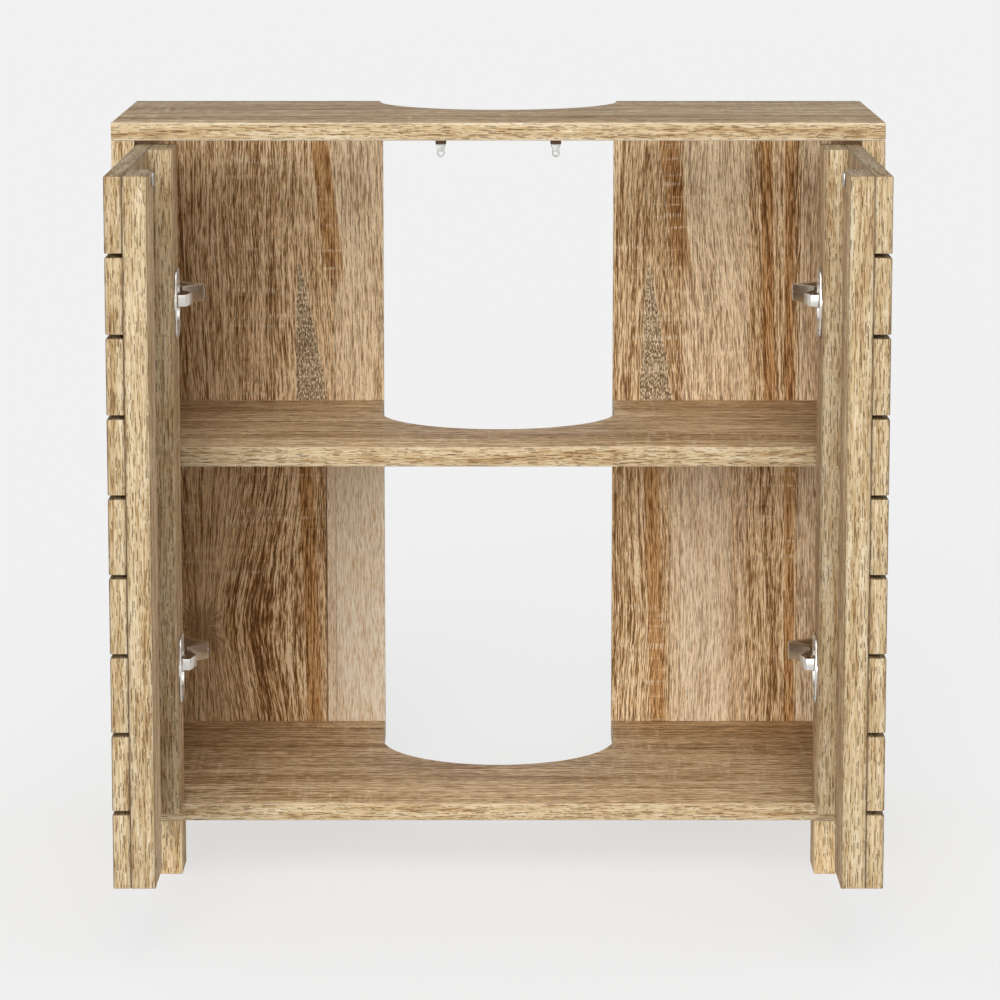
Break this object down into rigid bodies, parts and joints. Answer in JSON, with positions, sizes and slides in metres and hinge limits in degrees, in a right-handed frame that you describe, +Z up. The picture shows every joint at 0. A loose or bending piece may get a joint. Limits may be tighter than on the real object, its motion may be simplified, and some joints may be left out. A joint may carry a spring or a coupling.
{
  "type": "sink base cabinet",
  "caption": "Low sink base cabinet on block feet, with slatted doors on concealed hinges, a shelf, and a round-fronted pipe notch through top, shelf and bottom.",
  "frame": {"origin": "on the floor, at the middle of the footprint that the cabinet takes with both doors open at 90 degrees", "axes": "+Z up, +X to the cabinet's right as seen from the front, -Y towards the front (the doors), +Y to the wall"},
  "size_m": [0.6, 0.572, 0.5985],
  "materials": {
    "oak_board": "matt oak decor with fine dark pores",
    "oak_slat": "matt oak decor, grain upright",
    "back_board": "thin board with a brown oak print",
    "nickel": "bright nickel plate",
    "steel": "zinc-plated steel",
    "brown_plastic": "matt brown moulding",
    "clear_plastic": "clear moulding"
  },
  "bodies": {
    "root": {"top_panel": "oak_board", "bottom_panel": "oak_board", "shelf": "oak_board", "left_side_panel": "oak_board", "left_back_panel": "back_board", "front_left_foot": "oak_board", "rear_left_foot": "oak_board", "front_left_shelf_pin": "steel", "rear_left_shelf_pin": "steel", "left_catch_base": "brown_plastic", "left_catch_bumper": "clear_plastic", "left_upper_hinge_arm": "nickel", "left_upper_hinge_mounting_plate": "nickel", "left_lower_hinge_arm": "nickel", "left_lower_hinge_mounting_plate": "nickel", "right_side_panel": "oak_board", "right_back_panel": "back_board", "front_right_foot": "oak_board", "rear_right_foot": "oak_board", "front_right_shelf_pin": "steel", "rear_right_shelf_pin": "steel", "right_catch_base": "brown_plastic", "right_catch_bumper": "clear_plastic", "right_upper_hinge_arm": "nickel", "right_upper_hinge_mounting_plate": "nickel", "right_lower_hinge_arm": "nickel", "right_lower_hinge_mounting_plate": "nickel"},
    "left_door": {"left_door_slat_1": "oak_slat", "left_door_slat_2": "oak_slat", "left_door_slat_3": "oak_slat", "left_door_slat_4": "oak_slat", "left_door_slat_5": "oak_slat", "left_door_slat_6": "oak_slat", "left_door_slat_7": "oak_slat", "left_door_slat_8": "oak_slat", "left_door_slat_9": "oak_slat", "left_door_hinge_batten": "oak_board", "left_door_free_batten": "oak_board", "left_striker_plate": "steel", "left_upper_hinge_cup": "nickel", "left_lower_hinge_cup": "nickel"},
    "right_door": {"right_door_slat_1": "oak_slat", "right_door_slat_2": "oak_slat", "right_door_slat_3": "oak_slat", "right_door_slat_4": "oak_slat", "right_door_slat_5": "oak_slat", "right_door_slat_6": "oak_slat", "right_door_slat_7": "oak_slat", "right_door_slat_8": "oak_slat", "right_door_slat_9": "oak_slat", "right_door_hinge_batten": "oak_board", "right_door_free_batten": "oak_board", "right_striker_plate": "steel", "right_upper_hinge_cup": "nickel", "right_lower_hinge_cup": "nickel"},
    "left_hinge_links": {"left_upper_hinge_link": "nickel", "left_lower_hinge_link": "nickel"},
    "right_hinge_links": {"right_upper_hinge_link": "nickel", "right_lower_hinge_link": "nickel"}
  },
  "joints": [
    {"name": "left_door_hinge", "type": "hinge", "parent": "root", "child": "left_door", "pos_m": [-0.277, -0.01045, 0.32125], "axis": [0, 0, 1], "range_deg": [-15, 90]},
    {"name": "right_door_hinge", "type": "hinge", "parent": "root", "child": "right_door", "pos_m": [0.277, -0.01045, 0.32125], "axis": [0, 0, -1], "range_deg": [-15, 90]},
    {"name": "left_link_pivot", "type": "hinge", "parent": "left_door", "child": "left_hinge_links", "pos_m": [-0.2514, -0.01665, 0.32125], "axis": [0, 0, 1], "range_deg": [-152, 26]},
    {"name": "right_link_pivot", "type": "hinge", "parent": "right_door", "child": "right_hinge_links", "pos_m": [0.2514, -0.01665, 0.32125], "axis": [0, 0, -1], "range_deg": [-152, 26]}
  ],
  "couplings": [
    {"joint": "left_link_pivot", "follows": "left_door_hinge", "ratio": -1.68},
    {"joint": "right_link_pivot", "follows": "right_door_hinge", "ratio": -1.68}
  ]
}
